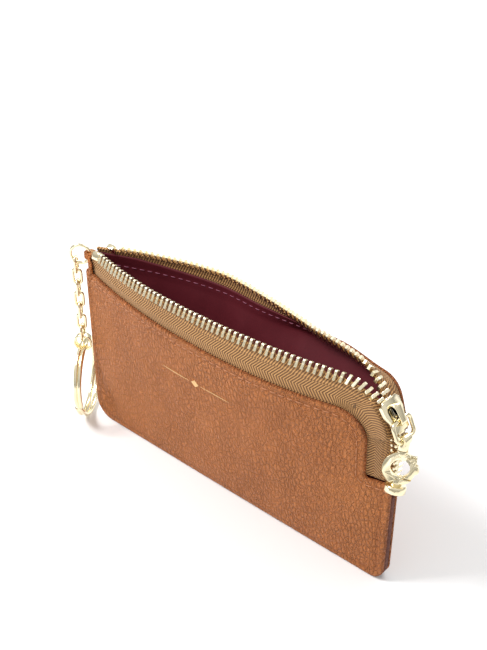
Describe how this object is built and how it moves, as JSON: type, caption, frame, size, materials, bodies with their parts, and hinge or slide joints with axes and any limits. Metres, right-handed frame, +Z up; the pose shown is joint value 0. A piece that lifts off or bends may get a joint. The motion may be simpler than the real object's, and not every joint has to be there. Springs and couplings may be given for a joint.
{
  "type": "zippered pouch",
  "caption": "Small soft leather pouch with a zip that turns one corner, a key ring on a chain at one end and a snap hook on the slider.",
  "frame": {"origin": "middle of the bottom edge of the closed seam, on the surface the pouch stands on", "axes": "+X along the pouch towards the slider, -Y to the front, +Z up"},
  "size_m": [0.1575, 0.0345, 0.0754],
  "materials": {
    "leather": "pebbled, satin",
    "lining": "smooth twill",
    "zip_tape": "herringbone woven tape",
    "gold_metal": "polished pale gold plate",
    "spring_steel": "plain"
  },
  "bodies": {
    "pouch": {"front_panel": "leather", "back_panel": "leather", "front_lining": "lining", "back_lining": "lining", "side_welt": "leather", "front_tape": "zip_tape", "back_tape": "zip_tape", "front_teeth": "gold_metal", "back_teeth": "gold_metal", "top_stop_front": "gold_metal", "top_stop_back": "gold_metal", "bottom_stop": "gold_metal", "corner_tab": "leather"},
    "zip_pin": {"slider_lock_pin": "gold_metal"},
    "slider": {"slider_body": "gold_metal", "slider_crown": "gold_metal", "slider_lock_spring": "spring_steel"},
    "puller": {"puller_link": "gold_metal"},
    "swivel_eye": {"clasp_eye": "gold_metal"},
    "hook": {"clasp_body": "gold_metal", "clasp_collar": "gold_metal", "clasp_gate_pin": "gold_metal", "clasp_gate_spring": "spring_steel"},
    "gate": {"clasp_gate": "gold_metal"},
    "corner_ring": {"corner_ring": "gold_metal"},
    "link_1": {"chain_link_1": "gold_metal"},
    "link_2": {"chain_link_2": "gold_metal"},
    "link_3": {"chain_link_3": "gold_metal"},
    "link_4": {"chain_link_4": "gold_metal"},
    "link_5": {"chain_link_5": "gold_metal"},
    "link_6": {"chain_link_6": "gold_metal"},
    "link_7": {"chain_link_7": "gold_metal"},
    "connector": {"connector_ring": "gold_metal"},
    "key_ring": {"key_ring": "gold_metal"}
  },
  "joints": [
    {"name": "zip_travel", "type": "slide", "parent": "pouch", "child": "zip_pin", "axis": [-0.9974, 0, 0.072], "range_m": [0, 0.11625], "deforming": ["front_panel", "back_panel", "front_tape", "back_tape", "front_teeth", "back_teeth", "front_lining", "back_lining"]},
    {"name": "slider_turn", "type": "hinge", "parent": "zip_pin", "child": "slider", "pos_m": [0.06375, 0, 0.06492], "axis": [0, 1, 0], "range_deg": [-56.2, 0]},
    {"name": "puller_swing", "type": "hinge", "parent": "slider", "child": "puller", "pos_m": [0.06694, 0, 0.06484], "axis": [0, -1, 0], "range_deg": [0, 100]},
    {"name": "eye_swing", "type": "hinge", "parent": "puller", "child": "swivel_eye", "pos_m": [0.06966, 0, 0.05927], "axis": [0, -1, 0], "range_deg": [0, 70]},
    {"name": "hook_swivel", "type": "hinge", "parent": "swivel_eye", "child": "hook", "pos_m": [0.06995, -0.00203, 0.05647], "axis": [-0.0982, 0.342, 0.9345], "range_deg": [0, 50]},
    {"name": "gate_open", "type": "hinge", "parent": "hook", "child": "gate", "pos_m": [0.07339, -0.00128, 0.05361], "axis": [-0.4663, 0.8138, -0.3468], "range_deg": [0, 16], "stiffness_Nm_per_rad": 0.006, "springref_deg": -11.46},
    {"name": "corner_ring_turn", "type": "hinge", "parent": "pouch", "child": "corner_ring", "pos_m": [-0.0669, 0, 0.0699], "axis": [0, 0, 1], "range_deg": [-25, 15]},
    {"name": "link_1_swing", "type": "hinge", "parent": "corner_ring", "child": "link_1", "pos_m": [-0.07141, -0.00316, 0.06685], "axis": [0.8192, 0.5736, 0], "range_deg": [-18, 18]},
    {"name": "link_2_swing", "type": "hinge", "parent": "link_1", "child": "link_2", "pos_m": [-0.07141, -0.00316, 0.0624], "axis": [-0.5736, 0.8192, 0], "range_deg": [0, 20]},
    {"name": "link_3_swing", "type": "hinge", "parent": "link_2", "child": "link_3", "pos_m": [-0.07141, -0.00316, 0.05755], "axis": [0.8192, 0.5736, 0], "range_deg": [-18, 18]},
    {"name": "link_4_swing", "type": "hinge", "parent": "link_3", "child": "link_4", "pos_m": [-0.07141, -0.00316, 0.0527], "axis": [-0.5736, 0.8192, 0], "range_deg": [0, 20]},
    {"name": "link_5_swing", "type": "hinge", "parent": "link_4", "child": "link_5", "pos_m": [-0.07141, -0.00316, 0.04785], "axis": [0.8192, 0.5736, 0], "range_deg": [-18, 18]},
    {"name": "link_6_swing", "type": "hinge", "parent": "link_5", "child": "link_6", "pos_m": [-0.07141, -0.00316, 0.043], "axis": [-0.5736, 0.8192, 0], "range_deg": [0, 20]},
    {"name": "link_7_swing", "type": "hinge", "parent": "link_6", "child": "link_7", "pos_m": [-0.07141, -0.00316, 0.03815], "axis": [0.8192, 0.5736, 0], "range_deg": [-18, 18]},
    {"name": "connector_swing", "type": "hinge", "parent": "link_7", "child": "connector", "pos_m": [-0.07141, -0.00316, 0.0333], "axis": [-0.5736, 0.8192, 0], "range_deg": [0, 20]},
    {"name": "key_ring_swing", "type": "hinge", "parent": "connector", "child": "key_ring", "pos_m": [-0.07141, -0.00316, 0.02878], "axis": [0.8192, 0.5736, 0], "range_deg": [-15, 15]}
  ],
  "couplings": [
    {"joint": "slider_turn", "follows": "zip_travel", "rad_per_m": -8.4076}
  ]
}
